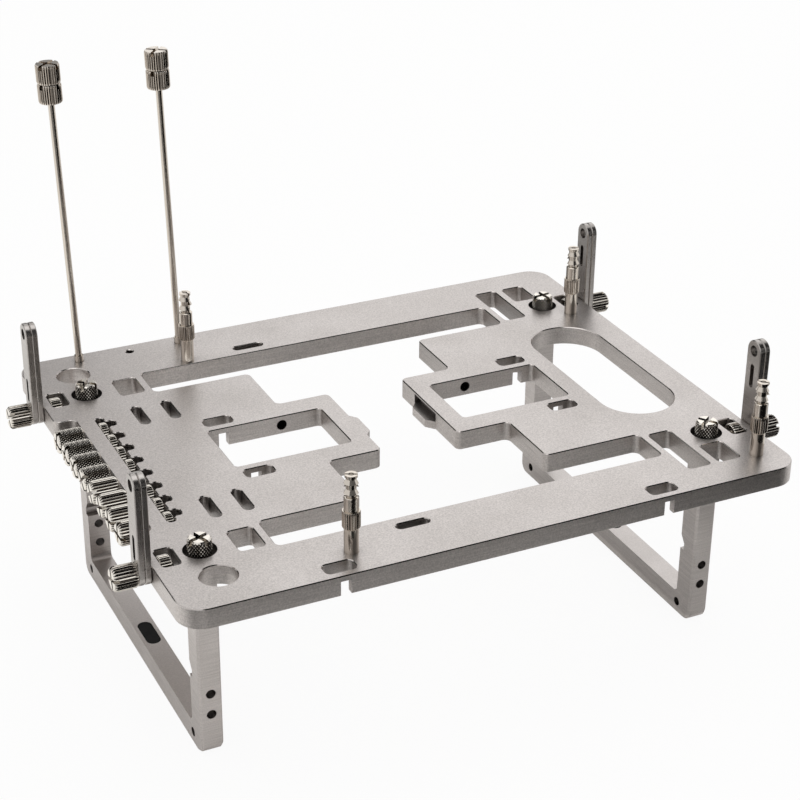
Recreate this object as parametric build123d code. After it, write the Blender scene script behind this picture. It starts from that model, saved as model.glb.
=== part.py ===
from build123d import *
from math import cos, pi, radians, sin
import os

os.makedirs("parts", exist_ok=True)

# Open air test bench: a slotted tray on two U frames, with board standoffs, clamp bars,
# two card posts and a rack of spare thumbscrews. Millimetres.
# The origin is on the surface that the bench stands on, under the middle of the tray:
# X to the right along the tray, Y to the rear, Z up.

# Tray
tray_width = 230.0
tray_depth = 190.0
tray_thick = 7.4
tray_corner = 9.0
tray_edge = 0.3            # chamfer on every edge of the two big faces
cutout_corner = 1.5

# Large opening in the middle: two long slots joined by a channel that leaves two tongues
long_slot_end = 41.3       # from the tray's end to the slot's end
long_slot_wide = 17.0
long_slot_edge = 34.4      # from the tray's front or rear edge to the slot's middle
channel_wide = 71.7
tongue_wide = 48.0         # across Y
tongue_gap = 30.2          # between the two tongue ends
opening_corner = 2.2

# Lap joint on the tongue ends: a tab on one, a ledge on the other, turned half a turn
lap_proud = 2.6
lap_base = 17.0
lap_tip = 10.6
lap_shift = 2.7
lap_skin = 0.6             # from the tray's face to the tab
lap_thick = 3.1
lap_recess = 2.0
lap_slack = 0.4

# Cut-outs of the tray
window_end = 48.05         # from the tray's end to the window in a tongue
window_wide = 28.7
tongue_tip_wall = 7.35
blind_bore_d = 4.0
blind_bore_depth = 8.0
blind_bore_x = 37.8
hand_hole_length = 79.4
hand_hole_wide = 29.2
hand_hole_end = 25.7       # from the tray's end to the hole's middle, as for the next ones
cable_hole_d = 12.6
cable_hole_edge = 17.0
side_window_end = 33.7
side_window_wide = 9.1
side_window_edge = 41.0    # from the tray's front or rear edge to the window's near side
left_window_length = 13.3
right_window_length = 27.7
small_window_end = 21.2
small_window_wide = 9.2
small_window_length = 13.1
vent_wide = 3.7
vent_length = 15.0
vent_edge = 58.65
vent_first_end = 30.4
vent_second_end = 42.0
tie_slot_length = 10.8
tie_slot_wide = 5.9
tie_slot_corner = 1.8
tie_slot_end = 54.5
tie_slot_y = 20.5
tie_slot_edge = 5.75
tie_groove_wide = 3.9
tie_groove_top = 2.0       # metal left above a groove
rail_slot_length = 12.3
rail_slot_wide = 3.6
rail_slot_x = 27.4
rail_slot_edge = 20.3

# U frames under the tray
leg_height = 71.4
leg_end = 17.6             # from the tray's end to the frame's middle
leg_thick = 8.1
leg_inset = 29.3           # from the tray's front edge to the frame's front
post_wide = 8.8
foot_bar_high = 9.2
foot_corner = 4.5
leg_inner_corner = 2.0
leg_edge = 0.8
post_bore_d = 3.5
post_bore_low = 16.5
post_bore_high = 24.8
cross_bore_d = 3.4
cross_bore_edge = 8.3      # from the frame's front or rear
cross_bore_z = 5.0
catch_depth = 2.2
catch_floor = 28.8
catch_flat = 2.6
catch_slope = 3.2
insert_length = 15.0
insert_wide = 5.3
insert_thick = 3.0
insert_sink = 0.15
insert_slack = 0.05

# Thumbscrews
knurl_teeth = 26
knurl_depth = 0.3
head_edge = 0.7
cross_slot_wide = 1.2
cross_slot_depth = 1.6
thread_slack = 0.05

# Upright thumbscrews that hold the tray on the frames
leg_screw_edge = 4.8       # from the frame's front or rear
leg_screw_head_d = 8.3
leg_screw_head = 8.0
leg_screw_d = 3.5
leg_screw_reach = 12.0
leg_screw_turns = [20.0, 52.0, 35.0, 8.0]
counterbore_d = 11.5
counterbore_depth = 3.3

# Clamp bars and the screws they turn on
bar_wide = 8.0
bar_thick = 2.15
bar_length = 40.7
bar_pitch = 32.7           # between the two round holes
bar_slack = 0.05           # face to face
bar_slot_wide = 2.2
bar_slot_length = 9.3
bar_slot_from_hole = 9.9   # middle of the slot to the far round hole
bar_edge = 0.3
clamp_d = 4.0
clamp_slack = 0.08
clamp_head_d = 8.5
clamp_head = 8.0
clamp_turns = [15.0, 40.0, 65.0, 5.0]
nut_pocket_end = 6.4       # from the tray's end to the pocket's middle
nut_pocket_wide = 6.3
nut_pocket_length = 11.4
clamp_nut_length = 3.9
clamp_tail = 1.0           # thread past the nut

# Rack of spare thumbscrews along the left edge
rack_count = 8
rack_pitch = 10.0
rack_depth = 7.6
rack_length = 86.5
rack_corner = 2.5
rack_wall = 6.5
comb_wide = 3.0
comb_margin = 5.5          # past the outer screws' axes
comb_notch = 3.3
comb_notch_wide = 4.3
comb_corner = 1.2
coarse_d = 3.5
fine_d = 3.0
spare_head_d = 8.5
spare_head = 9.6
spare_nut_d = 7.9
spare_nut_slack = 0.1
spare_tail = 0.9
spare_turn = 11.0          # degrees from each screw to the next

# Board standoffs, at three corners of a small board's hole pattern and one hole nearer
board_x = 157.48
board_nearer = 22.86       # how much nearer the right rear hole is than the left rear one
board_right_end = 10.62    # from the tray's right end to the standoffs
board_front_edge = 12.8
board_rear_edge = 22.26    # leaves 154.94 between the two standoffs on the left
standoff_d = 5.0
standoff_shoulder = 20.6
standoff_stud_d = 3.0
standoff_stud = 5.5
neck_d = 3.5
neck_top = 28.6
tip_ring_d = 4.3
tip_ring_high = 0.9
barb_d = 5.0
barb_high = 1.5
barb_levels = [22.0, 25.6]
barb_offset = 1.8          # the other jaw's barb sits between those two
split_wide = 0.7
jaw_window_high = 1.4
jaw_window_deep = 1.1
collar_d = 6.2
collar_bottom = 9.0
collar_length = 6.5
collar_taper = 0.5
pin_d = 1.8
pin_slack = 0.05
pin_below_rim = 0.1
pin_travel = 1.5           # how far it can be pressed down
pin_length = 15.0
standoff_turns = [64.0, 25.0, 40.0, 70.0]

# Card posts at the rear left, on the pitch of card slots
post_first_end = 23.5      # from the tray's left end
post_pitch = 20.32
post_line_edge = 5.6       # from the tray's rear edge
post_hole_d = 3.1
post_d = 2.5
post_leans = [1.85, 1.65]   # degrees towards the left
post_foot_d = 3.4
post_foot = 2.5
post_nut_d = 8.8
post_nut = 7.0
post_nut_gap = 0.4
post_nut_bottom = 105.0
post_thread_top = 117.2
post_nut_turns = [30.0, 75.0]

tray_top = leg_height + tray_thick
tray_mid = leg_height + tray_thick / 2
half_width = tray_width / 2
half_depth = tray_depth / 2
long_slot_length = tray_width - 2 * long_slot_end
long_slot_y = half_depth - long_slot_edge
window_inner_x = tongue_gap / 2 + tongue_tip_wall
window_length = half_width - window_end - window_inner_x
window_x = window_inner_x + window_length / 2
tie_slot_x = half_width - tie_slot_end
tie_slot_front_y = half_depth - tie_slot_edge
leg_x = half_width - leg_end
leg_depth = tray_depth - 2 * leg_inset
leg_screw_y = leg_depth / 2 - leg_screw_edge
nut_pocket_x = half_width - nut_pocket_end
screw_places = [(-leg_x, -leg_screw_y), (-leg_x, leg_screw_y), (leg_x, -leg_screw_y), (leg_x, leg_screw_y)]
corner_names = ["left_front", "left_rear", "right_front", "right_rear"]
rack_floor_x = -half_width + rack_depth
comb_outer_x = rack_floor_x + rack_wall
rack_ys = [(i - (rack_count - 1) / 2) * rack_pitch for i in range(rack_count)]
spare_nut_length = comb_wide - 2 * spare_nut_slack
upright_plane = Rot(0, 0, 90) * Rot(90, 0, 0)  # drawn X to Y, drawn Y to Z, thickness to X


def saveNode(name, shape):
    solids = shape.solids()
    body = solids[0] if len(solids) == 1 else Compound(children=list(solids))
    export_step(body, f"parts/{name}.step")


def slotAlongY(length, width):
    return Rot(0, 0, 90) * SlotOverall(length, width)


# Knurled cylinder on +Z: straight teeth when teeth is above zero, otherwise a plain barrel
# whose fine crossed knurl is a surface finish.
def knurledBarrel(diameter, length, teeth, lower_edge, upper_edge):
    outer = diameter / 2
    barrel = extrude(Circle(outer), length)
    barrel = chamfer(barrel.edges().group_by(Axis.Z)[-1], upper_edge)
    barrel = chamfer(barrel.edges().group_by(Axis.Z)[0], lower_edge)
    if teeth == 0:
        return barrel
    root = outer - knurl_depth
    step = pi / teeth
    points = []
    for i in range(2 * teeth):
        radius = outer if i % 2 == 0 else root
        points.append((radius * cos(i * step), radius * sin(i * step)))
    return barrel & extrude(make_face(Polyline(*points, close=True)), length)


def crossSlots(length, reach):
    blade = Box(reach, cross_slot_wide, 2 * cross_slot_depth)
    return Pos(0, 0, length) * (blade + Rot(0, 0, 90) * blade)


# Head up from the origin, thread down from it.
def thumbScrew(head_d, head, teeth, thread_d, reach):
    screw = knurledBarrel(head_d, head, teeth, head_edge / 2, head_edge)
    screw -= crossSlots(head, head_d + 1)
    thread = Pos(0, 0, -reach) * extrude(Circle(thread_d / 2), reach)
    thread = chamfer(thread.edges().group_by(Axis.Z)[0], head_edge / 2)
    return screw + thread


def thumbNut(nut_d, length, teeth, thread_d):
    nut = knurledBarrel(nut_d, length, teeth, head_edge / 2, head_edge / 2)
    return nut - extrude(Circle(thread_d / 2 + thread_slack), length)


def lapOutline():
    base = lap_base / 2
    tip = lap_tip / 2
    points = [(-lap_proud, -base), (0, -base), (lap_proud, -tip), (lap_proud, tip), (0, base), (-lap_proud, base)]
    return make_face(Polyline(*points, close=True))


def centralOpening():
    opening = Rectangle(tongue_gap, 2 * long_slot_y)
    arm_wide = long_slot_y - tongue_wide / 2
    for way in (-1, 1):
        opening += Pos(0, way * long_slot_y) * Rectangle(long_slot_length, long_slot_wide)
        opening += Pos(0, way * (tongue_wide + arm_wide) / 2) * Rectangle(channel_wide, arm_wide)
    return fillet(opening.vertices(), opening_corner)


def combOpening():
    length = rack_ys[-1] - rack_ys[0] + 2 * comb_margin
    comb = Pos(comb_outer_x + comb_wide / 2, 0) * Rectangle(comb_wide, length)
    reach = comb_wide / 2 + comb_notch
    for y in rack_ys:
        comb += Pos(comb_outer_x + comb_wide / 2 + reach / 2, y) * Rectangle(reach, comb_notch_wide)
    return fillet(comb.vertices(), comb_corner)


def cornerWindows(width, length, x, near):
    window = RectangleRounded(width, length, cutout_corner)
    return [Pos(x, way * (near + length / 2)) * window for way in (-1, 1)]


def throughCutouts():
    cuts = [centralOpening(), combOpening()]
    window = RectangleRounded(window_length, window_wide, cutout_corner)
    tie_slot = RectangleRounded(tie_slot_length, tie_slot_wide, tie_slot_corner)
    pocket = RectangleRounded(nut_pocket_wide, nut_pocket_length, cutout_corner)
    for side in (-1, 1):
        cuts.append(Pos(side * window_x, 0) * window)
        for y in (-tie_slot_front_y, -tie_slot_y, tie_slot_y):
            cuts.append(Pos(side * tie_slot_x, y) * tie_slot)
    for x, y in screw_places:
        cuts.append(Pos(nut_pocket_x if x > 0 else -nut_pocket_x, y) * pocket)
    side_x = half_width - side_window_end
    side_near = half_depth - side_window_edge
    small_x = half_width - small_window_end
    small_near = side_near + right_window_length - small_window_length
    cuts += cornerWindows(side_window_wide, left_window_length, -side_x, side_near)
    cuts += cornerWindows(side_window_wide, right_window_length, side_x, side_near)
    cuts += cornerWindows(small_window_wide, small_window_length, small_x, small_near)
    cuts.append(Pos(half_width - hand_hole_end, 0) * slotAlongY(hand_hole_length, hand_hole_wide))
    for way in (-1, 1):
        cuts.append(Pos(-leg_x, way * (half_depth - cable_hole_edge)) * Circle(cable_hole_d / 2))
        rail_slot = SlotOverall(rail_slot_length, rail_slot_wide)
        cuts.append(Pos(-rail_slot_x, way * (half_depth - rail_slot_edge)) * rail_slot)
        for end in (vent_first_end, vent_second_end):
            vent = slotAlongY(vent_length, vent_wide)
            cuts.append(Pos(end - half_width, way * (half_depth - vent_edge)) * vent)
    for i in range(3):
        x = post_first_end - half_width + i * post_pitch
        cuts.append(Pos(x, half_depth - post_line_edge) * Circle(post_hole_d / 2))
    return cuts


def trayOutline():
    outline = Rectangle(tray_width, tray_depth)
    outline = fillet(outline.vertices(), tray_corner)
    rack = Pos(-half_width, 0) * Rectangle(2 * rack_depth, rack_length)
    outline -= rack
    near_rack = [v for v in outline.vertices() if abs(v.Y) < rack_length / 2 + 1 and v.X < rack_floor_x + 1]
    return fillet(near_rack, rack_corner)


def tieGrooves():
    grooves = []
    depth = tray_thick - tie_groove_top
    slot_half = tie_slot_wide / 2
    runs = [(-half_depth - 1, -tie_slot_front_y), (-tie_slot_y, -window_wide / 2 + 1)]
    runs.append((window_wide / 2 - 1, tie_slot_y))
    for side in (-1, 1):
        for start, end in runs:
            length = end - start
            place = Pos(side * tie_slot_x, start + length / 2, leg_height + depth / 2)
            grooves.append(place * Box(tie_groove_wide, length, depth))
    return grooves


def lapRooms():
    room_high = lap_thick + lap_slack
    room = Box(2 * lap_recess, lap_base + 2 * lap_slack, room_high)
    under_tab = tray_top - lap_skin - lap_thick - room_high / 2
    over_ledge = leg_height + lap_thick + room_high / 2
    left_room = Pos(-tongue_gap / 2, -lap_shift, under_tab) * room
    right_room = Pos(tongue_gap / 2, lap_shift, over_ledge) * room
    return [left_room, right_room]


def screwBores():
    bores = []
    wall = half_width - nut_pocket_x
    clamp_bore = Rot(0, 90, 0) * Cylinder(clamp_d / 2 + thread_slack, wall)
    counterbore = extrude(Circle(counterbore_d / 2), counterbore_depth)
    through = extrude(Circle(leg_screw_d / 2 + thread_slack), tray_thick)
    for x, y in screw_places:
        bores.append(Pos(x, y, tray_top - counterbore_depth) * counterbore)
        bores.append(Pos(x, y, leg_height) * through)
        clamp_x = nut_pocket_x + wall / 2
        bores.append(Pos(clamp_x if x > 0 else -clamp_x, y, tray_mid) * clamp_bore)
    for index, y in enumerate(rack_ys):
        bore = Cylinder(spareThread(index) / 2 + thread_slack, rack_wall + comb_wide)
        bores.append(Pos(rack_floor_x + rack_wall / 2, y, tray_mid) * Rot(0, 90, 0) * bore)
    for x, y in standoffPlaces():
        stud_hole = extrude(Circle(standoff_stud_d / 2 + thread_slack), standoff_stud)
        bores.append(Pos(x, y, tray_top - standoff_stud) * stud_hole)
    for side in (-1, 1):
        blind = Rot(90, 0, 0) * Cylinder(blind_bore_d / 2, blind_bore_depth)
        bores.append(Pos(side * blind_bore_x, (window_wide + blind_bore_depth) / 2, tray_mid) * blind)
    return bores


def makeTray():
    sketch = trayOutline() - throughCutouts()
    tray = Pos(0, 0, leg_height) * extrude(sketch, tray_thick)
    faces = [tray.faces().sort_by(Axis.Z)[0], tray.faces().sort_by(Axis.Z)[-1]]
    tray = chamfer([edge for face in faces for edge in face.edges()], tray_edge)
    tray -= lapRooms() + screwBores() + tieGrooves()
    tab_bottom = tray_top - lap_skin - lap_thick
    tab = Pos(-tongue_gap / 2, -lap_shift, tab_bottom) * extrude(lapOutline(), lap_thick)
    ledge = Pos(tongue_gap / 2, lap_shift, leg_height) * extrude(Rot(0, 0, 180) * lapOutline(), lap_thick)
    return tray + [tab, ledge]


def makeLeg(side):
    frame = Rectangle(leg_depth, leg_height)
    lower = frame.vertices().group_by(Axis.Y)[0]
    frame = fillet(lower, foot_corner)
    inner_wide = leg_depth - 2 * post_wide
    hollow_high = leg_height - foot_bar_high
    hollow = Pos(0, foot_bar_high / 2) * Rectangle(inner_wide, hollow_high)
    frame -= hollow
    inner = [v for v in frame.vertices() if abs(v.X) < inner_wide / 2 + 0.1 and v.Y < 0]
    frame = fillet(inner, leg_inner_corner)
    catch_top = catch_floor + catch_flat + catch_slope
    for way in (-1, 1):
        wall = way * inner_wide / 2
        back = wall + way * catch_depth
        front = wall - way * 1
        outline = [(front, catch_floor), (back, catch_floor), (back, catch_floor + catch_flat)]
        outline += [(wall, catch_top), (front, catch_top)]
        frame -= Pos(0, -leg_height / 2) * make_face(Polyline(*outline, close=True))
    leg = extrude(frame, leg_thick / 2, both=True)
    leg = Pos(side * leg_x, 0, leg_height / 2) * upright_plane * leg
    rims = [e for face in leg.faces().filter_by(Axis.X) for e in face.edges()]
    long_rims = [e for e in rims if e.center().Z < leg_height - 0.01 and e.length > catch_slope + catch_depth]
    outer_rims = [e for e in long_rims if abs(e.center().Y) > leg_depth / 2 - 0.01 or e.center().Z < 0.01]
    corner_rims = [e for e in rims if e.geom_type == GeomType.CIRCLE and e.center().Z < foot_corner]
    leg = chamfer(outer_rims + corner_rims, leg_edge)
    for y in (-leg_screw_y, leg_screw_y):
        hole_depth = leg_screw_reach - (tray_thick - counterbore_depth) + 1
        hole = extrude(Circle(leg_screw_d / 2 + thread_slack), hole_depth)
        leg -= Pos(side * leg_x, y, leg_height - hole_depth) * hole
    for z in (post_bore_low, post_bore_high):
        leg -= Pos(side * leg_x, 0, z) * Rot(90, 0, 0) * Cylinder(post_bore_d / 2, leg_depth)
    cross_bore = Rot(0, 90, 0) * Cylinder(cross_bore_d / 2, leg_thick)
    for way in (-1, 1):
        leg -= Pos(side * leg_x, way * (leg_depth / 2 - cross_bore_edge), cross_bore_z) * cross_bore
    pocket = extrude(slotAlongY(insert_length + 2 * insert_slack, insert_wide + 2 * insert_slack), insert_thick)
    leg -= Pos(side * leg_x, 0, foot_bar_high - insert_thick) * pocket
    return leg


def makeInsert(side):
    insert = extrude(slotAlongY(insert_length, insert_wide), insert_thick - insert_sink)
    return Pos(side * leg_x, 0, foot_bar_high - insert_thick) * insert


def clampBar(flipped):
    middle = bar_pitch / 2
    bar = slotAlongY(bar_length, bar_wide)
    for y in (-middle, middle):
        bar -= Pos(0, y) * Circle(clamp_d / 2 + clamp_slack)
    slot_y = middle - bar_slot_from_hole
    slot_y = -slot_y if flipped else slot_y
    bar -= Pos(0, slot_y) * slotAlongY(bar_slot_length, bar_slot_wide)
    bar = extrude(bar, bar_thick)
    rims = [bar.faces().sort_by(Axis.Z)[0].outer_wire(), bar.faces().sort_by(Axis.Z)[-1].outer_wire()]
    return chamfer([edge for wire in rims for edge in wire.edges()], bar_edge)


def spareThread(index):
    return coarse_d if index >= rack_count // 2 else fine_d


def standoffPlaces():
    right_x = half_width - board_right_end
    left_x = right_x - board_x
    front_y = board_front_edge - half_depth
    rear_y = half_depth - board_rear_edge
    return [(left_x, front_y), (left_x, rear_y), (right_x, front_y), (right_x, rear_y - board_nearer)]


# One turned body: stud, cylinder, and a split neck whose two jaws carry barbs for a board hole.
def makeStandoff():
    body = extrude(Circle(standoff_d / 2), standoff_shoulder)
    body = chamfer(body.edges().group_by(Axis.Z)[-1], 0.2)
    body += Pos(0, 0, -standoff_stud) * extrude(Circle(standoff_stud_d / 2), standoff_stud)
    neck_high = neck_top - standoff_shoulder
    body += Pos(0, 0, standoff_shoulder) * extrude(Circle(neck_d / 2), neck_high)
    body += Pos(0, 0, neck_top - tip_ring_high) * extrude(Circle(tip_ring_d / 2), tip_ring_high)
    barb = Pos(0, 0, barb_high / 2) * Cone(barb_d / 2, neck_d / 2, barb_high)
    jaw_half = Box(barb_d, barb_d, 2 * barb_high)
    left_barb = barb & Pos(-barb_d / 2, 0, 0) * jaw_half
    right_barb = barb & Pos(barb_d / 2, 0, 0) * jaw_half
    for level in barb_levels:
        body += Pos(0, 0, level) * left_barb
    body += Pos(0, 0, barb_levels[0] + barb_offset) * right_barb
    bore_high = pin_length + pin_below_rim + pin_travel
    body -= Pos(0, 0, neck_top - bore_high) * extrude(Circle(pin_d / 2 + pin_slack), bore_high)
    split = Box(split_wide, standoff_d + 1, neck_top - collar_bottom - collar_length)
    body -= Pos(0, 0, neck_top - split.bounding_box().size.Z / 2) * split
    for level in (barb_levels[0] + barb_high, barb_levels[1] + barb_high):
        notch = Box(barb_d, jaw_window_deep, jaw_window_high)
        place = Pos(barb_d / 2, -neck_d / 2, level - jaw_window_high / 2)
        body -= place * notch
    return body


def makeCollar():
    collar = knurledBarrel(collar_d, collar_length, knurl_teeth, collar_taper, 0.15)
    collar -= extrude(Circle(standoff_d / 2 + pin_slack), collar_length)
    return Pos(0, 0, collar_bottom) * collar


def makePin():
    pin = extrude(Circle(pin_d / 2), pin_length)
    pin = chamfer(pin.edges().group_by(Axis.Z)[-1], 0.3)
    return Pos(0, 0, neck_top - pin_below_rim - pin_length) * pin


def cardPostPlace(index):
    lean = post_leans[index]
    lift = post_foot_d / 2 * sin(radians(lean))
    x = post_first_end - half_width + 2 * index * post_pitch
    return Pos(x, half_depth - post_line_edge, tray_top + lift) * Rot(0, -lean, 0)


def makeCardPost():
    post = Pos(0, 0, -tray_thick) * extrude(Circle(post_d / 2), tray_thick + post_thread_top)
    return post + extrude(Circle(post_foot_d / 2), post_foot)


def makePostNut():
    nut = knurledBarrel(post_nut_d, post_nut, knurl_teeth, head_edge / 2, head_edge)
    nut -= crossSlots(post_nut, post_nut_d + 1)
    return nut - extrude(Circle(post_d / 2 + thread_slack), post_nut)


saveNode("tray", makeTray())

for side, name in ((-1, "left"), (1, "right")):
    saveNode(f"{name}_leg_frame", makeLeg(side))
    saveNode(f"{name}_leg_insert", makeInsert(side))

bar_near_x = [half_width + bar_slack, half_width + bar_thick + 2 * bar_slack]
bar_names = ["inner", "outer"]
clamp_seat_x = bar_near_x[1] + bar_thick + bar_slack
pocket_wall_x = nut_pocket_x + nut_pocket_wide / 2
clamp_reach = clamp_seat_x - pocket_wall_x + clamp_nut_length + clamp_tail
leg_screw = thumbScrew(leg_screw_head_d, leg_screw_head, 0, leg_screw_d, leg_screw_reach)
clamp_screw = thumbScrew(clamp_head_d, clamp_head, knurl_teeth, clamp_d, clamp_reach)
clamp_nut = thumbNut(clamp_head_d, clamp_nut_length, knurl_teeth, clamp_d)

for index, (x, y) in enumerate(screw_places):
    corner = corner_names[index]
    side = 1 if x > 0 else -1
    seat = Pos(x, y, tray_top - counterbore_depth) * Rot(0, 0, leg_screw_turns[index])
    saveNode(f"{corner}_leg_screw", seat * leg_screw)
    for level, near_x in enumerate(bar_near_x):
        start_x = near_x if side > 0 else -near_x - bar_thick
        bar_place = Pos(start_x, y, tray_mid + bar_pitch / 2) * upright_plane
        saveNode(f"{corner}_{bar_names[level]}_clamp_bar", bar_place * clampBar(level == 1))
    outward = Rot(0, side * 90, 0)
    turned = outward * Rot(0, 0, clamp_turns[index])
    saveNode(f"{corner}_clamp_screw", Pos(side * clamp_seat_x, y, tray_mid) * turned * clamp_screw)
    nut_x = side * (pocket_wall_x - clamp_nut_length)
    saveNode(f"{corner}_clamp_nut", Pos(nut_x, y, tray_mid) * outward * clamp_nut)

spare_reach = rack_wall + comb_wide + spare_tail
spare_screws = [thumbScrew(spare_head_d, spare_head, knurl_teeth, fine_d, spare_reach)]
spare_screws.append(thumbScrew(spare_head_d, spare_head, 0, coarse_d, spare_reach))
spare_nuts = [thumbNut(spare_nut_d, spare_nut_length, knurl_teeth, fine_d)]
spare_nuts.append(thumbNut(spare_nut_d, spare_nut_length, knurl_teeth, coarse_d))

for index, y in enumerate(rack_ys):
    kind = 1 if spareThread(index) == coarse_d else 0
    turned = Rot(0, -90, 0) * Rot(0, 0, index * spare_turn)
    saveNode(f"spare_screw_{index + 1}", Pos(rack_floor_x, y, tray_mid) * turned * spare_screws[kind])
    nut_x = comb_outer_x + spare_nut_slack + spare_nut_length
    saveNode(f"spare_nut_{index + 1}", Pos(nut_x, y, tray_mid) * Rot(0, -90, 0) * spare_nuts[kind])

standoff = makeStandoff()
collar = makeCollar()
pin = makePin()

for index, (x, y) in enumerate(standoffPlaces()):
    place = Pos(x, y, tray_top) * Rot(0, 0, standoff_turns[index])
    saveNode(f"{corner_names[index]}_standoff", place * standoff)
    saveNode(f"{corner_names[index]}_standoff_collar", place * collar)
    saveNode(f"{corner_names[index]}_standoff_pin", place * pin)

card_post = makeCardPost()
post_nut_part = makePostNut()
post_nut_middle = post_nut_bottom + post_nut

for index, name in enumerate(("left", "right")):
    place = cardPostPlace(index)
    lower = Pos(0, 0, post_nut_middle) * Rot(180, 0, 0) * Rot(0, 0, post_nut_turns[index])
    upper = Pos(0, 0, post_nut_middle + post_nut_gap) * Rot(0, 0, post_nut_turns[1 - index])
    saveNode(f"{name}_card_post", place * card_post)
    saveNode(f"{name}_card_post_lower_nut", place * lower * post_nut_part)
    saveNode(f"{name}_card_post_upper_nut", place * upper * post_nut_part)
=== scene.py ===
import bmesh
import bpy
import math
from mathutils import Euler, Matrix, Vector


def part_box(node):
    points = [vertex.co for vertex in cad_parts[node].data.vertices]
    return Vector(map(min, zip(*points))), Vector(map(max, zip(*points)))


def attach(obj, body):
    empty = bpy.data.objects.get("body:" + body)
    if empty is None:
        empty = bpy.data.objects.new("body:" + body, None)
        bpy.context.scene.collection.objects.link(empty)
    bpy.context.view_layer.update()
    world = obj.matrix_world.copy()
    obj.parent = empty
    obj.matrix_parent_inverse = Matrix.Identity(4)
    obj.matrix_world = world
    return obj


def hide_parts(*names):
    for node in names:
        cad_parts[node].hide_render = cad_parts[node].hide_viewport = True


# Open air test bench: a slotted aluminium tray on two U frames, with nickel plated
# thumbscrews, board standoffs, clamp bars and card posts. Sizes here are in millimetres.
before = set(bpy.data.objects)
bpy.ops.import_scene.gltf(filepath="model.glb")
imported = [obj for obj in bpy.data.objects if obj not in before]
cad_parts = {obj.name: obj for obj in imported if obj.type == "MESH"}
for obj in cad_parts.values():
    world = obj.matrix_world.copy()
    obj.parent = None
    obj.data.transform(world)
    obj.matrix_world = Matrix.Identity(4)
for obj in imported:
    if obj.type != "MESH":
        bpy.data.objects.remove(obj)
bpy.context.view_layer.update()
mm = 0.001
cornerNames = ["left_front", "left_rear", "right_front", "right_rear"]
lying = 90  # degrees a turned piece is tipped about Y when it lies across the bench
print("frame loaded:", len(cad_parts), "nodes")


def linearFromHex(hexColour):
    values = [int(hexColour[i:i + 2], 16) / 255 for i in (1, 3, 5)]
    return [v / 12.92 if v <= 0.04045 else ((v + 0.055) / 1.055) ** 2.4 for v in values] + [1.0]


# Adds a node, sets its sockets or properties, and links other nodes' outputs into it.
def addNode(tree, kind, settings=None, links=None):
    node = tree.nodes.new(kind)
    for key, value in (settings or {}).items():
        if isinstance(key, int) or key in node.inputs:
            node.inputs[key].default_value = value
        else:
            setattr(node, key, value)
    for key, output in (links or {}).items():
        tree.links.new(output, node.inputs[key])
    return node


# Settings that map one range of values onto another.
def fromTo(source, target):
    return {"From Min": source[0], "From Max": source[1], "To Min": target[0], "To Max": target[1]}


# Settings that mix two colours.
def blendOf(first, second):
    return {"data_type": "RGBA", 6: linearFromHex(first), 7: linearFromHex(second)}


# Scale of a pattern whose marks have a real size in mm.
def scaleFor(size):
    return 1 / (size * mm)


def newMaterial(name):
    material = bpy.data.materials.new(name)
    material.use_nodes = True
    material.node_tree.nodes.clear()
    return material, material.node_tree


def finishMaterial(tree, shader):
    addNode(tree, "ShaderNodeOutputMaterial", None, {"Surface": shader.outputs["BSDF"]})


# Finishes

anodised = {
    "colour": "#D2CCC9",      # clear anodising on bead blasted 6061, slightly warm
    "colourDeep": "#C9C3BF",  # where the film is a little thicker
    "roughness": (0.34, 0.42),
    "grit": 0.55,             # bead marks in mm, drawn coarser than the real 0.08 so that they show
    "gritHeight": 0.02,
    "gritStrength": 0.5,
    "sparkle": (0.8, 1.14),   # how far the bead marks darken and lighten the metal
    "cloud": 22.0,            # slow change of the film over the plate, in mm
    "shade": (0.15, 0.85),    # how open a place is where the dark of a hole is full, and where it ends
    "shadeReach": 7.0,        # how far in mm a wall darkens what is near it
    "shadeTone": "#4A4644",
    "shadeMost": 0.84,        # share of the shade's tone in the deepest place
    "ownShade": False,        # whether only the piece's own walls darken it
    "cutterLine": 0.5,        # height in mm of the cutter's lines along upright walls
    "cutterStretch": 0.03,    # a line's height beside its length
    "cutterTone": (0.9, 1.07),
    "wallLean": 0.1,          # how far upward a wall may face and still show the cutter's lines
    "edgeRoughness": 0.15,    # the 0.3 mm chamfers are cut after blasting, so they stay slick
    "edgeColour": "#CBC5C1",
    "edgeUpward": 0.7071,     # how far upward a chamfer at 45 degrees faces
    "edgeWidth": 0.03,        # how near to that a face must be to count as a chamfer
}
noiseSpan = (0.3, 0.7)        # nearly all values of a noise pattern lie between these


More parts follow.
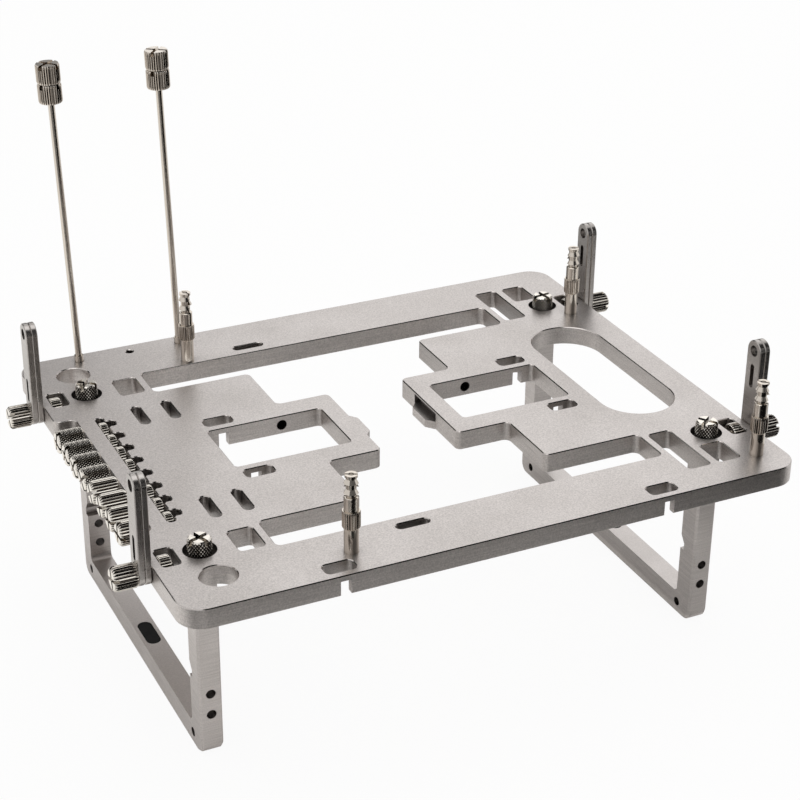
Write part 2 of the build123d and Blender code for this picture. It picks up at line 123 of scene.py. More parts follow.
# Anodised aluminium, bead blasted before anodising: an even satin metal with a fine sparkle
# of bead marks, slow cloudiness and softly broken edges.
def makeAnodised(name, look):
    material, tree = newMaterial(name)
    place = addNode(tree, "ShaderNodeTexCoord")
    grit = addNode(tree, "ShaderNodeTexNoise",
                   {"Scale": scaleFor(look["grit"]), "Detail": 2.0, "Roughness": 0.6},
                   {"Vector": place.outputs["Object"]})
    cloud = addNode(tree, "ShaderNodeTexNoise",
                    {"Scale": scaleFor(look["cloud"]), "Detail": 3.0, "Roughness": 0.5},
                    {"Vector": place.outputs["Object"]})
    film = addNode(tree, "ShaderNodeMix", blendOf(look["colour"], look["colourDeep"]),
                   {0: cloud.outputs["Fac"]})
    sparkle = addNode(tree, "ShaderNodeMapRange", fromTo(noiseSpan, look["sparkle"]),
                      {"Value": grit.outputs["Fac"]})
    facing = addNode(tree, "ShaderNodeNewGeometry")
    upward = addNode(tree, "ShaderNodeSeparateXYZ", None, {0: facing.outputs["True Normal"]})
    stretch = addNode(tree, "ShaderNodeMapping",
                      {"Scale": (look["cutterStretch"], look["cutterStretch"], 1.0)},
                      {"Vector": place.outputs["Object"]})
    lines = addNode(tree, "ShaderNodeTexNoise", {"Scale": scaleFor(look["cutterLine"]), "Detail": 2.0},
                    {"Vector": stretch.outputs["Vector"]})
    lineTone = addNode(tree, "ShaderNodeMapRange", fromTo(noiseSpan, look["cutterTone"]),
                       {"Value": lines.outputs["Fac"]})
    wall = addNode(tree, "ShaderNodeMath", {"operation": "COMPARE", 1: 0.0, 2: look["wallLean"]},
                   {0: upward.outputs["Z"]})
    wallTone = addNode(tree, "ShaderNodeMix", {"data_type": "FLOAT", 2: 1.0},
                       {0: wall.outputs[0], 3: lineTone.outputs["Result"]})
    grain = addNode(tree, "ShaderNodeMath", {"operation": "MULTIPLY"},
                    {0: sparkle.outputs["Result"], 1: wallTone.outputs[0]})
    blasted = addNode(tree, "ShaderNodeVectorMath", {"operation": "SCALE"},
                      {0: film.outputs[2], "Scale": grain.outputs[0]})
    # Painted shade: ambient occlusion darkens the colour towards the shade's tone in holes, wells and beside
    # walls.
    openness = addNode(tree, "ShaderNodeAmbientOcclusion", {"samples": 6, "only_local": look["ownShade"],
                                                            "Distance": look["shadeReach"] * mm})
    shade = addNode(tree, "ShaderNodeMapRange", fromTo(look["shade"], (look["shadeMost"], 0.0)),
                    {"Value": openness.outputs["AO"]})
    shaded = addNode(tree, "ShaderNodeMix", {"data_type": "RGBA", 7: linearFromHex(look["shadeTone"])},
                     {0: shade.outputs["Result"], 6: blasted.outputs["Vector"]})
    cutEdge = addNode(tree, "ShaderNodeMath",
                      {"operation": "COMPARE", 1: look["edgeUpward"], 2: look["edgeWidth"]},
                      {0: upward.outputs["Z"]})
    tint = addNode(tree, "ShaderNodeMix", {"data_type": "RGBA", 7: linearFromHex(look["edgeColour"])},
                   {0: cutEdge.outputs[0], 6: shaded.outputs[2]})
    rough = addNode(tree, "ShaderNodeMapRange", fromTo(noiseSpan, look["roughness"]),
                    {"Value": cloud.outputs["Fac"]})
    slick = addNode(tree, "ShaderNodeMix", {"data_type": "FLOAT", 3: look["edgeRoughness"]},
                    {0: cutEdge.outputs[0], 2: rough.outputs["Result"]})
    bump = addNode(tree, "ShaderNodeBump",
                   {"Strength": look["gritStrength"], "Distance": look["gritHeight"] * mm},
                   {"Height": grit.outputs["Fac"]})
    shader = addNode(tree, "ShaderNodeBsdfPrincipled", {"Metallic": 1.0},
                     {"Base Color": tint.outputs[2], "Roughness": slick.outputs[0],
                      "Normal": bump.outputs["Normal"]})
    finishMaterial(tree, shader)
    return material


nickel = {
    "colour": "#F3EDE4",      # nickel is a warm white metal
    "colourOilAndShade": "#423B34",  # oil and painted shadow at the bottom of the knurl, also painted shade in corners and wells
    "roughness": (0.08, 0.18),
    "smudge": 1.6,            # finger marks in mm, which dull the mirror
    "smudgeSpan": (0.35, 0.65),
    "toolMark": 0.2,          # turning marks in mm, drawn as coarse as they need to show
    "toolMarkHeight": 0.0015,
    "toolMarkStrength": 0.3,
    "groove": (0.05, 0.6),    # how deep in its groove, as a share, the plate starts and ends darkening with oil and painted shadow
    "corner": 2.5,            # how far in mm a wall casts painted shade into a corner or a well
    "cornerShadeSpan": (0.1, 0.65),  # how open a place is where that is full, and where it ends
    "cornerShadeMost": 0.5,
}
ringPeriod = 2 * math.pi / 20  # width of one ring of a wave pattern at scale 1


# Nickel plated steel, turned and knurled before plating: a bright mirror broken by fine turning rings,
# darker in the grooves of the knurl with oil and painted shadow, and with painted shade in corners and
# wells.
def makeNickel(name, look):
    material, tree = newMaterial(name)
    place = addNode(tree, "ShaderNodeTexCoord")
    smudge = addNode(tree, "ShaderNodeTexNoise", {"Scale": scaleFor(look["smudge"]), "Detail": 4.0},
                     {"Vector": place.outputs["Object"]})
    ring = addNode(tree, "ShaderNodeTexWave",
                   {"wave_type": "RINGS", "rings_direction": "Z", "Distortion": 0.4,
                    "Scale": ringPeriod * scaleFor(look["toolMark"])},
                   {"Vector": place.outputs["Object"]})
    # The plate's colour darkens in the knurl's grooves, for oil and painted shadow, and in corners and
    # wells, as painted shade found by ambient occlusion.
    groove = addNode(tree, "ShaderNodeAttribute", {"attribute_name": "groove"})
    deep = addNode(tree, "ShaderNodeMapRange", fromTo(look["groove"], (0.0, 1.0)),
                   {"Value": groove.outputs["Fac"]})
    corner = addNode(tree, "ShaderNodeAmbientOcclusion", {"samples": 4, "Distance": look["corner"] * mm})
    cornerShade = addNode(tree, "ShaderNodeMapRange", fromTo(look["cornerShadeSpan"], (look["cornerShadeMost"], 0.0)),
                  {"Value": corner.outputs["AO"]})
    oilAndShade = addNode(tree, "ShaderNodeMath", {"operation": "MAXIMUM"},
                   {0: deep.outputs["Result"], 1: cornerShade.outputs["Result"]})
    tint = addNode(tree, "ShaderNodeMix", blendOf(look["colour"], look["colourOilAndShade"]), {0: oilAndShade.outputs[0]})
    rough = addNode(tree, "ShaderNodeMapRange", fromTo(look["smudgeSpan"], look["roughness"]),
                    {"Value": smudge.outputs["Fac"]})
    bump = addNode(tree, "ShaderNodeBump",
                   {"Strength": look["toolMarkStrength"], "Distance": look["toolMarkHeight"] * mm},
                   {"Height": ring.outputs["Fac"]})
    shader = addNode(tree, "ShaderNodeBsdfPrincipled", {"Metallic": 1.0},
                     {"Base Color": tint.outputs[2], "Roughness": rough.outputs["Result"],
                      "Normal": bump.outputs["Normal"]})
    finishMaterial(tree, shader)
    return material


rubber = {
    "colour": "#0D0C0C",
    "colourDust": "#161514",
    "roughness": (0.55, 0.75),
    "specular": 0.2,
    "grain": 0.25,            # moulded grain in mm
    "grainHeight": 0.01,
    "grainStrength": 0.6,
    "dust": 2.5,              # patches of dust in mm
}


# Moulded nitrile rubber: near black and matt, with a fine moulded grain and a little dust.
def makeRubber(name, look):
    material, tree = newMaterial(name)
    place = addNode(tree, "ShaderNodeTexCoord")
    grain = addNode(tree, "ShaderNodeTexNoise", {"Scale": scaleFor(look["grain"]), "Detail": 3.0},
                    {"Vector": place.outputs["Object"]})
    dust = addNode(tree, "ShaderNodeTexNoise", {"Scale": scaleFor(look["dust"]), "Detail": 4.0},
                   {"Vector": place.outputs["Object"]})
    tint = addNode(tree, "ShaderNodeMix", blendOf(look["colour"], look["colourDust"]),
                   {0: dust.outputs["Fac"]})
    rough = addNode(tree, "ShaderNodeMapRange", fromTo((0.0, 1.0), look["roughness"]),
                    {"Value": dust.outputs["Fac"]})
    bump = addNode(tree, "ShaderNodeBump",
                   {"Strength": look["grainStrength"], "Distance": look["grainHeight"] * mm},
                   {"Height": grain.outputs["Fac"]})
    shader = addNode(tree, "ShaderNodeBsdfPrincipled", {"Specular IOR Level": look["specular"]},
                     {"Base Color": tint.outputs[2], "Roughness": rough.outputs["Result"],
                      "Normal": bump.outputs["Normal"]})
    finishMaterial(tree, shader)
    return material


# The frames' bends pass through 45 degrees, so no chamfer is picked out on them.
frameLook = dict(anodised, edgeWidth=-1.0, ownShade=True, grit=0.45, sparkle=(0.9, 1.07))
# The bars are tumbled smoother, so they look darker and slicker.
barLook = dict(frameLook, colour="#BFBAB6", colourDeep="#B4AFAB", roughness=(0.22, 0.30), gritHeight=0.005,
               sparkle=(0.95, 1.03))
crossedLook = dict(nickel, colourOilAndShade="#2A2520", groove=(0.12, 0.75))  # bright diamonds, with oil and painted shadow dark between them
wornLook = dict(nickel, colour="#E6DDD2", colourOilAndShade="#978B7F")        # rubbed dull by fingers
rodLook = dict(nickel, colour="#DDD4C9", toolMarkHeight=0.0)           # drawn, so it has no turning marks
pinLook = dict(nickel, colour="#857D74", toolMarkHeight=0.0)           # bare steel, darkened further as painted shade so that the pin's top reads as the dark hole of a tube

anodisedAluminium = makeAnodised("bead blasted anodised aluminium", anodised)
frameAluminium = makeAnodised("bead blasted anodised frame", frameLook)
tumbledAluminium = makeAnodised("tumbled anodised aluminium", barLook)
nickelPlate = makeNickel("bright nickel plate on turned steel", nickel)
crossedNickel = makeNickel("bright nickel plate on crossed knurls", crossedLook)
wornNickel = makeNickel("worn nickel plate on knurled grips", wornLook)
smoothNickel = makeNickel("bright nickel plate on drawn rod", rodLook)
shadedPinSteel = makeNickel("steel of the release pins darkened as painted shade", pinLook)
blackRubber = makeRubber("moulded black rubber", rubber)

# Words in the nodes' names and their finishes. The first word that a name holds counts.
finishes = {
    "insert": blackRubber,
    "standoff_pin": shadedPinSteel,
    "screw": smoothNickel,
    "nut": smoothNickel,
    "standoff": smoothNickel,
    "card_post": smoothNickel,
    "clamp_bar": tumbledAluminium,
    "leg_frame": frameAluminium,
    "tray": anodisedAluminium,
}
for nodeName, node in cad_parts.items():
    node.data.materials.clear()
    node.data.materials.append(next(finishes[word] for word in finishes if word in nodeName))
print("materials made")


# Knurled thumbscrews and nuts

# Height of the knurl at an angle (in turns) and a height, 0 in a groove and 1 on a crest.
def knurlHeight(look, turn, z):
    def ridge(phase):
        return min(1.0, look["crest"] * (1 - abs(2 * (phase % 1.0) - 1)))
    if look["knurl"] == "straight":
        return ridge(turn * look["teeth"])
    rise = z / look["diamondHigh"]
    return min(ridge(turn * look["teeth"] + rise), ridge(turn * look["teeth"] - rise))


# How far out a barrel goes at a height, with a chamfer at each end.
def barrelEnvelope(look, z):
    outer = look["across"] / 2
    return min(outer, outer - look["lowerEdge"] + z, outer - look["upperEdge"] + look["high"] - z)


# Rings of a knurled barrel that is turned about Z, from z 0 up.
def barrelRings(look):
    outer = look["across"] / 2
    segments = look["teeth"] * look["perTooth"]
    rings = []
    for i in range(look["rows"] + 1):
        z = look["high"] * i / look["rows"]
        envelope = barrelEnvelope(look, z)
        ring = []
        for j in range(segments):
            cut = look["knurlDeep"] * (1 - knurlHeight(look, j / segments, z))
            radius = min(envelope, outer - cut)
            angle = 2 * math.pi * j / segments
            ring.append((radius * math.cos(angle), radius * math.sin(angle), z))
        rings.append(ring)
    return rings


def roundRing(radius, z, segments):
    angles = [2 * math.pi * j / segments for j in range(segments)]
    return [(radius * math.cos(angle), radius * math.sin(angle), z) for angle in angles]


# Screw thread as rings: the radius follows the helix, so crests climb round the shank.
def threadRings(look, low, high, segments):
    rowsPerTurn = 6
    taper = 0.6  # how much thinner the first turn starts, as a share of the thread's depth
    deep, pitch = look["threadDeep"], look["pitch"]
    rings = []
    rows = max(2, int(round((high - low) / pitch * rowsPerTurn)))
    for i in range(rows + 1):
        z = low + (high - low) * i / rows
        fade = min(1.0, (z - low) / pitch)
        ring = []
        for j in range(segments):
            phase = (z / pitch - j / segments) % 1.0
            groove = deep * abs(2 * phase - 1)
            radius = look["shank"] / 2 - groove - deep * taper * (1 - fade)
            angle = 2 * math.pi * j / segments
            ring.append((radius * math.cos(angle), radius * math.sin(angle), z))
        rings.append(ring)
    return rings


# Joins rings from bottom to top. Two rings with different counts are bridged through bmesh.
def meshFromRings(name, rings, closed=False):
    mesh = bpy.data.meshes.new(name)
    work = bmesh.new()
    loops = [[work.verts.new([v * mm for v in point]) for point in ring] for ring in rings]
    pairs = list(zip(loops, loops[1:]))
    if closed:
        pairs.append((loops[-1], loops[0]))
    for lower, upper in pairs:
        if len(lower) == len(upper):
            count = len(lower)
            for j in range(count):
                k = (j + 1) % count
                work.faces.new((lower[j], lower[k], upper[k], upper[j]))
        else:
            edges = []
            for loop in (lower, upper):
                for j in range(len(loop)):
                    pair = (loop[j], loop[(j + 1) % len(loop)])
                    edges.append(work.edges.get(pair) or work.edges.new(pair))
            bmesh.ops.bridge_loops(work, edges=edges)
    if not closed:
        work.faces.new(list(reversed(loops[0])))
        work.faces.new(loops[-1])
    bmesh.ops.recalc_face_normals(work, faces=work.faces)
    work.to_mesh(mesh)
    work.free()
    return mesh


# Cuts two crossed slots into the top of a mesh.
def cutCross(mesh, look):
    overhang = 2
    body = bpy.data.objects.new("slotted head", mesh)
    bpy.context.scene.collection.objects.link(body)
    cutters = []
    for turn in (0, 90):
        cutterMesh = bpy.data.meshes.new("slot cutter")
        work = bmesh.new()
        bmesh.ops.create_cube(work, size=1.0)
        size = ((look["across"] + overhang) * mm, look["slotWide"] * mm, 2 * look["slotDeep"] * mm)
        bmesh.ops.scale(work, vec=size, verts=work.verts)
        work.to_mesh(cutterMesh)
        work.free()
        cutter = bpy.data.objects.new("slot cutter", cutterMesh)
        cutter.matrix_world = turnedPlace((0, 0, look["high"] * mm), 0, turn)
        bpy.context.scene.collection.objects.link(cutter)
        cut = body.modifiers.new("slot", "BOOLEAN")
        cut.operation = "DIFFERENCE"
        cut.solver = "EXACT"
        cut.object = cutter
        cutters.append(cutter)
    bpy.context.view_layer.update()
    result = bpy.data.meshes.new_from_object(body.evaluated_get(bpy.context.evaluated_depsgraph_get()))
    for extra in cutters + [body]:
        bpy.data.objects.remove(extra)
    return result


# Smooth across the turned faces, sharp where two faces meet at more than the crease.
def shadeByAngle(mesh):
    crease = math.radians(28)
    mesh.polygons.foreach_set("use_smooth", [True] * len(mesh.polygons))
    work = bmesh.new()
    work.from_mesh(mesh)
    for edge in work.edges:
        edge.smooth = len(edge.link_faces) == 2 and edge.calc_face_angle(0) < crease
    work.to_mesh(mesh)
    work.free()


# Stores how deep each point lies in its groove, 0 on a crest and 1 at the bottom, for the oil and painted
# shadow in the plating's colour.
def markGrooves(mesh, look):
    seam = 0.005       # how near in mm to an end face a point counts as on it
    slotFrom = 1.2     # deeper than any groove, so on the floor or a wall of the cross slot
    slotDepth = 0.3
    grooves = mesh.attributes.new("groove", "FLOAT", "POINT")
    for vertex, value in zip(mesh.vertices, grooves.data):
        x, y, z = [v / mm for v in vertex.co]
        if z < -seam:
            depth = (look["shank"] / 2 - math.hypot(x, y)) / look["threadDeep"]
        elif z > look["high"] - seam:
            depth = 0.0
        else:
            depth = (barrelEnvelope(look, z) - math.hypot(x, y)) / look["knurlDeep"]
            if depth > slotFrom:
                depth = slotDepth
        value.value = max(0.0, min(1.0, depth))


# Head up from z 0 with its cross slot, threaded shank down from it.
def thumbScrewMesh(name, look):
    shankTop = -0.01        # the thread stops just under the head
    topShares = (0.6, 0.2)  # inner rings of the top, as shares of its radius
    head = barrelRings(look)
    count = len(head[0])
    shank = threadRings(look, -look["reach"], shankTop, count // 4)
    rings = shank + [roundRing(look["shank"] / 2, 0, count)] + head
    top = look["across"] / 2 - look["upperEdge"]
    rings += [roundRing(top * share, look["high"], count) for share in topShares]
    mesh = cutCross(meshFromRings(name, rings), look)
    shadeByAngle(mesh)
    markGrooves(mesh, look)
    return mesh


# A knurled barrel with a bore right through, and a cross slot where slotDeep is set.
def thumbNutMesh(name, look):
    outside = barrelRings(look)
    count = len(outside[0])
    bore = look["bore"] / 2
    inside = [roundRing(bore, look["high"], count), roundRing(bore, 0, count)]
    mesh = meshFromRings(name, outside + inside, closed=True)
    if look["slotDeep"]:
        mesh = cutCross(mesh, look)
    shadeByAngle(mesh)
    markGrooves(mesh, look)
    return mesh


# A place that is tipped about Y and turned about the piece's own axis, both in degrees.
def turnedPlace(point, tilt, turn):
    tipped = Matrix.Translation(point) @ Matrix.Rotation(math.radians(tilt), 4, "Y")
    return tipped @ Matrix.Rotation(math.radians(turn), 4, "Z")


def placePiece(name, mesh, matrix, body, slotName, material, *nodes):
    piece = bpy.data.objects.new(name, mesh)
    bpy.context.scene.collection.objects.link(piece)
    piece.matrix_world = matrix
    if not mesh.materials:
        mesh.materials.append(material)
    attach(piece, body)
    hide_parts(*nodes)


thumbLook = {
    "teeth": 24,
    "perTooth": 8,      # points round each tooth
    "crest": 1.1,       # over 1 leaves the crests a little flat
    "knurlDeep": 0.4,
    "lowerEdge": 0.35,  # chamfer at the bottom of the barrel
    "upperEdge": 0.7,   # chamfer at its top
    "slotWide": 1.2,
    "slotDeep": 1.6,
    "threadDeep": 0.3,
}
legScrewLook = dict(thumbLook, knurl="crossed", teeth=22, across=8.3, high=8.0, rows=54, diamondHigh=1.5,
                    shank=3.5, reach=12.0, pitch=0.8, slotWide=1.6, slotDeep=2.0)
legScrewLook["turns"] = [20.0, 52.0, 35.0, 8.0]    # in degrees, one for each corner
clampScrewLook = dict(thumbLook, knurl="straight", across=8.5, high=8.0, rows=12, shank=4.0, pitch=0.7)
clampScrewLook["turns"] = [15.0, 40.0, 65.0, 5.0]

legScrewLook["mesh"] = thumbScrewMesh("leg screw", legScrewLook)
for corner, turn in zip(cornerNames, legScrewLook["turns"]):
    node = f"{corner}_leg_screw"
    low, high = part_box(node)
    seat = Vector(((low.x + high.x) / 2, (low.y + high.y) / 2, high.z - legScrewLook["high"] * mm))
    placePiece(node + "_knurled", legScrewLook["mesh"], turnedPlace(seat, 0, turn), "bench",
               "nickel", crossedNickel, node)

low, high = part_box("right_front_clamp_screw")
clampScrewLook["reach"] = (high.x - low.x) / mm - clampScrewLook["high"]
clampScrewLook["mesh"] = thumbScrewMesh("clamp screw", clampScrewLook)
for corner, turn in zip(cornerNames, clampScrewLook["turns"]):
    node = f"{corner}_clamp_screw"
    low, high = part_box(node)
    side = 1 if low.x > 0 else -1
    seatX = (high.x if side > 0 else low.x) - side * clampScrewLook["high"] * mm
    seat = Vector((seatX, (low.y + high.y) / 2, (low.z + high.z) / 2))
    placePiece(node + "_knurled", clampScrewLook["mesh"], turnedPlace(seat, side * lying, turn), "bench",
               "nickel", nickelPlate, node)
print("leg screws and clamp screws made")

spareLook = dict(thumbLook, across=8.5, high=9.6, turnStep=11.0)  # each is turned this much on from the last
low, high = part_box("spare_screw_1")
spareLook["reach"] = (high.x - low.x) / mm - spareLook["high"]
fineLook = dict(spareLook, knurl="straight", rows=12, shank=3.0, pitch=0.5, threadDeep=0.25,
                material=nickelPlate)
coarseLook = dict(spareLook, knurl="crossed", teeth=28, rows=64, diamondHigh=1.4, shank=3.5, pitch=0.8,
                  material=crossedNickel)
fineLook["mesh"] = thumbScrewMesh("fine spare screw", fineLook)
coarseLook["mesh"] = thumbScrewMesh("coarse spare screw", coarseLook)
for index, look in enumerate([fineLook] * 4 + [coarseLook] * 4):
    node = f"spare_screw_{index + 1}"
    low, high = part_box(node)
    seat = Vector((low.x + look["high"] * mm, (low.y + high.y) / 2, (low.z + high.z) / 2))
    placePiece(node + "_knurled", look["mesh"], turnedPlace(seat, -lying, index * look["turnStep"]), "bench",
               "nickel", look["material"], node)
print("spare screws made")

# Nuts take their height from their node where none is given.
nutLook = {
    "knurl": "straight",
    "teeth": 26,
    "perTooth": 8,
    "crest": 1.1,
    "knurlDeep": 0.35,
    "rows": 12,
    "lowerEdge": 0.35,
    "upperEdge": 0.35,
    "slotWide": 1.2,
    "slotDeep": 0,
    "firstTurn": 0.0,  # in degrees
    "turnStep": 7.0,
    "material": nickelPlate,
}
clampNutLook = dict(nutLook, across=8.5, bore=4.1)
fineNutLook = dict(nutLook, across=7.9, bore=3.1)
coarseNutLook = dict(nutLook, across=7.9, bore=3.6)
collarLook = dict(nutLook, across=6.2, teeth=24, knurlDeep=0.2, lowerEdge=0.5, upperEdge=0.15, bore=5.1,
                  material=wornNickel)
postNutLook = dict(nutLook, across=8.8, teeth=30, knurlDeep=0.25, high=7.0, lowerEdge=0.2, bore=2.6,
                   slotDeep=1.6, firstTurn=30.0, material=wornNickel)
postLeans = {"left": -1.85, "right": -1.65}  # degrees by which each post stands askew in its hole


# Replaces knurled nodes that share one size by turned meshes in the middle of their boxes.
# Leans are degrees about Y, one for each node. A piece that leans a little is leant in its
# mesh, so that its box stays true.
def placeNuts(look, nodes, leans):
    low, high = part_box(nodes[0])
    look.setdefault("high", (high.x - low.x if leans[0] == lying else high.z - low.z) / mm)
    look["mesh"] = thumbNutMesh(nodes[0] + " knurl", look)
    for index, (node, lean) in enumerate(zip(nodes, leans)):
        low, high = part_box(node)
        axis = Matrix.Rotation(math.radians(lean), 3, "Y") @ Vector((0, 0, 1))
        seat = (low + high) / 2 - axis * look["high"] / 2 * mm
        mesh = look["mesh"].copy()
        mesh.transform(Matrix.Rotation(math.radians(look["firstTurn"] + index * look["turnStep"]), 4, "Z"))
        if lean != lying:
            mesh.transform(Matrix.Rotation(math.radians(lean), 4, "Y"))
        placePiece(node + "_knurled", mesh, turnedPlace(seat, lying if lean == lying else 0, 0), "bench",
                   "nickel", look["material"], node)


placeNuts(clampNutLook, [f"{corner}_clamp_nut" for corner in cornerNames], [lying] * 4)
placeNuts(fineNutLook, [f"spare_nut_{i}" for i in (1, 2, 3, 4)], [lying] * 4)
placeNuts(coarseNutLook, [f"spare_nut_{i}" for i in (5, 6, 7, 8)], [lying] * 4)
placeNuts(collarLook, [f"{corner}_standoff_collar" for corner in cornerNames], [0] * 4)
postNuts = [(side, level) for side in ("left", "right") for level in ("lower", "upper")]
placeNuts(postNutLook, [f"{side}_card_post_{level}_nut" for side, level in postNuts],
          [postLeans[side] for side, level in postNuts])
print("nuts and collars made")


# Studio

studio = {
    "cameraPlace": (-273.15, -574.82, 411.04),
    "cameraTurn": (62.807, -0.499, -25.436),  # in degrees
    "lens": 87.705,
    "sensor": 36.0,
    "seesFrom": 10,         # nearest and farthest that the camera sees
    "seesTo": 20000,
    "floorSize": (6000, 6000),
    "floorDrop": 0.2,       # keeps the floor just under the rubber inserts and feet
    "floorColour": "#F4F3F1",
    "glowForCamera": 0.93,  # share of plain white in the floor as the camera sees it
    "glowForMetal": 0.10,   # and as the metal reflects it
    "roomStrength": 0.78,
}

camera = bpy.data.objects.new("camera", bpy.data.cameras.new("camera"))
bpy.context.scene.collection.objects.link(camera)
camera.location = [v * mm for v in studio["cameraPlace"]]
camera.rotation_euler = Euler([math.radians(v) for v in studio["cameraTurn"]])
camera.data.lens = studio["lens"]
camera.data.sensor_width = studio["sensor"]
camera.data.clip_start = studio["seesFrom"] * mm
camera.data.clip_end = studio["seesTo"] * mm
bpy.context.scene.camera = camera


def makePlane(name, size, matrix, material):
    mesh = bpy.data.meshes.new(name)
    work = bmesh.new()
    bmesh.ops.create_grid(work, x_segments=1, y_segments=1, size=0.5)
    bmesh.ops.scale(work, vec=(size[0] * mm, size[1] * mm, 1), verts=work.verts)
    work.to_mesh(mesh)
    work.free()
    mesh.materials.append(material)
    plane = bpy.data.objects.new(name, mesh)
    plane.matrix_world = matrix
    bpy.context.scene.collection.objects.link(plane)
    return plane


# White acrylic sheet, clear from below so that the underside can be looked at. The camera sees
# it nearly white and the metal sees it a little paler than it is lit, with the object's soft
# shadow left in both.
def makeFloorMaterial():
    material, tree = newMaterial("white studio floor")
    path = addNode(tree, "ShaderNodeLightPath")
    matt = addNode(tree, "ShaderNodeBsdfDiffuse", {"Color": linearFromHex(studio["floorColour"])})
    glow = addNode(tree, "ShaderNodeEmission", {"Color": (1, 1, 1, 1), "Strength": 1.0})
    forCamera = addNode(tree, "ShaderNodeMath", {"operation": "MULTIPLY", 1: studio["glowForCamera"]},
                        {0: path.outputs["Is Camera Ray"]})
    forMetal = addNode(tree, "ShaderNodeMath", {"operation": "MULTIPLY", 1: studio["glowForMetal"]},
                       {0: path.outputs["Is Glossy Ray"]})
    share = addNode(tree, "ShaderNodeMath", {"operation": "MAXIMUM"},
                    {0: forCamera.outputs[0], 1: forMetal.outputs[0]})
    mix = addNode(tree, "ShaderNodeMixShader", None,
                  {0: share.outputs[0], 1: matt.outputs["BSDF"], 2: glow.outputs["Emission"]})
    side = addNode(tree, "ShaderNodeNewGeometry")
    clear = addNode(tree, "ShaderNodeBsdfTransparent")
    whole = addNode(tree, "ShaderNodeMixShader", None,
                    {0: side.outputs["Backfacing"], 1: mix.outputs["Shader"], 2: clear.outputs["BSDF"]})
    addNode(tree, "ShaderNodeOutputMaterial", None, {"Surface": whole.outputs["Shader"]})
    return material


blackFelt = "#101010"
whiteBoard = "#F8F7F4"


# Black or white card that fades out towards its edges, so that its reflection in the metal is
# soft.
def makeCardMaterial(name, card):
    material, tree = newMaterial(name)
    place = addNode(tree, "ShaderNodeTexCoord")
    parts = addNode(tree, "ShaderNodeSeparateXYZ", None, {0: place.outputs["Object"]})
    fades = []
    for axis, length in zip("XY", card["size"]):
        distance = addNode(tree, "ShaderNodeMath", {"operation": "ABSOLUTE"}, {0: parts.outputs[axis]})
        edge = fromTo((length / 2 * mm, (length / 2 - card["feather"]) * mm), (0.0, card["cover"]))
        fades.append(addNode(tree, "ShaderNodeMapRange", dict(edge, interpolation_type="SMOOTHSTEP"),
                             {"Value": distance.outputs[0]}))
    cover = addNode(tree, "ShaderNodeMath", {"operation": "MULTIPLY"},
                    {0: fades[0].outputs["Result"], 1: fades[1].outputs["Result"]})
    clear = addNode(tree, "ShaderNodeBsdfTransparent")
    face = addNode(tree, "ShaderNodeEmission",
                   {"Color": linearFromHex(card.get("tone", blackFelt)), "Strength": 1.0})
    mix = addNode(tree, "ShaderNodeMixShader", None,
                  {0: cover.outputs[0], 1: clear.outputs["BSDF"], 2: face.outputs["Emission"]})
    addNode(tree, "ShaderNodeOutputMaterial", None, {"Surface": mix.outputs["Shader"]})
    return material


# A card that lies face up at its place, or faces its target. Only the metal's reflections
# see it.
def addCard(name, card):
    straightUp = (card["place"][0], card["place"][1], 500)
    facing = Vector(card.get("target", straightUp)) - Vector(card["place"])
    turn = facing.to_track_quat("Z", "Y").to_matrix().to_4x4()
    matrix = Matrix.Translation([v * mm for v in card["place"]]) @ turn
    plane = makePlane(name, card["size"], matrix, makeCardMaterial(name, card))
    plane.visible_camera = False
    plane.visible_diffuse = False
    plane.visible_shadow = False


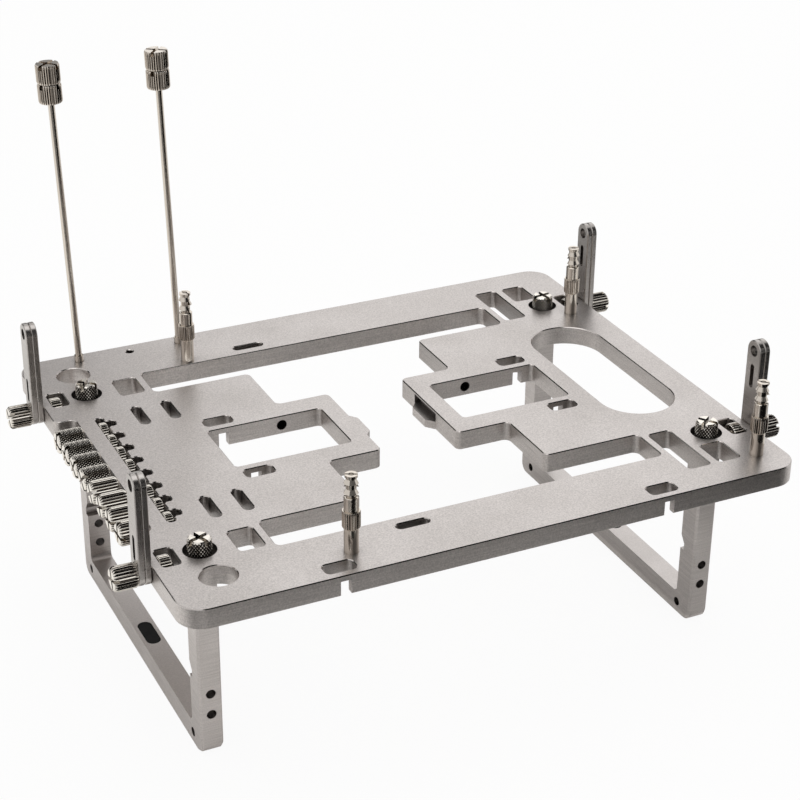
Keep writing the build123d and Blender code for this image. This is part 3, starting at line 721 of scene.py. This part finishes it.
# A card's feather is the width of its fading edge, and its cover is how much it hides.
cards = {
    "front_floor_card": {"place": (260, -580, 1), "size": (1100, 860), "feather": 80, "cover": 1.0},
    "left_front_floor_card": {"place": (-520, -420, 1), "size": (800, 700), "feather": 90, "cover": 0.85},
    "right_rear_floor_card": {"place": (260, 110, 3), "size": (260, 300), "feather": 90, "cover": 0.75},
    "right_floor_card": {"place": (460, -380, 2), "size": (800, 620), "feather": 110, "cover": 0.9},
    "front_wall_card": {"place": (420, -1150, 230), "target": (0, 0, 60), "size": (1500, 520),
                        "feather": 200, "cover": 0.85},
    "front_room_card": {"place": (-100, -1300, 430), "target": (-100, 0, 430), "size": (3200, 1240),
                        "feather": 260, "cover": 0.92},
    "under_card": {"place": (95, -40, 3), "size": (300, 300), "feather": 100, "cover": 0.55},
    "under_rear_card": {"place": (0, 240, 3), "size": (180, 220), "feather": 60, "cover": 0.85},
    "overhead_front_card": {"place": (330, -480, 680), "target": (40, -60, 80), "size": (1240, 740),
                            "feather": 130, "cover": 1.0},
    "rear_left_card": {"place": (-350, 1050, 540), "target": (0, 0, 80), "size": (1500, 900),
                       "feather": 340, "cover": 1.0},
    "rear_low_card": {"place": (500, 1060, 380), "target": (0, 0, 80), "size": (1500, 520),
                      "feather": 200, "cover": 0.4},
    "left_floor_bounce": {"place": (-632, 690, 1), "size": (1040, 1500), "feather": 30, "cover": 0.9,
                          "tone": whiteBoard},
    "near_floor_bounce": {"place": (30, -114, 4), "size": (500, 46), "feather": 18, "cover": 0.6,
                          "tone": whiteBoard},
}

underFeet = Matrix.Translation((0, 0, -studio["floorDrop"] * mm))
makePlane("floor", studio["floorSize"], underFeet, makeFloorMaterial())
for cardName, card in cards.items():
    addCard(cardName, card)

# The camera sees a white room, and the object is lit by a slightly dimmer one.
world = bpy.data.worlds.new("studio")
bpy.context.scene.world = world
world.use_nodes = True
world.node_tree.nodes.clear()
seen = addNode(world.node_tree, "ShaderNodeLightPath")
room = addNode(world.node_tree, "ShaderNodeBackground",
               {"Color": (1, 1, 1, 1), "Strength": studio["roomStrength"]})
white = addNode(world.node_tree, "ShaderNodeBackground", {"Color": (1, 1, 1, 1), "Strength": 1.0})
roomMix = addNode(world.node_tree, "ShaderNodeMixShader", None,
                  {0: seen.outputs["Is Camera Ray"], 1: room.outputs[0], 2: white.outputs[0]})
addNode(world.node_tree, "ShaderNodeOutputWorld", None, {"Surface": roomMix.outputs["Shader"]})

softboxes = {
    "overhead softbox": {"place": (0, 0, 900), "target": (0, 0, 70), "size": (900, 700), "power": 1.3},
    "rear softbox": {"place": (560, 760, 640), "target": (40, 0, 80), "size": (900, 700), "power": 0.75},
}
for softboxName, softbox in softboxes.items():
    light = bpy.data.lights.new(softboxName, "AREA")
    light.shape = "RECTANGLE"
    light.size, light.size_y = [v * mm for v in softbox["size"]]
    light.energy = softbox["power"]
    lamp = bpy.data.objects.new(softboxName, light)
    lamp.location = [v * mm for v in softbox["place"]]
    aim = Vector(softbox["target"]) - Vector(softbox["place"])
    lamp.rotation_euler = aim.to_track_quat("-Z", "Y").to_euler()
    bpy.context.scene.collection.objects.link(lamp)

bpy.context.scene.view_settings.view_transform = "Standard"
print("studio set")
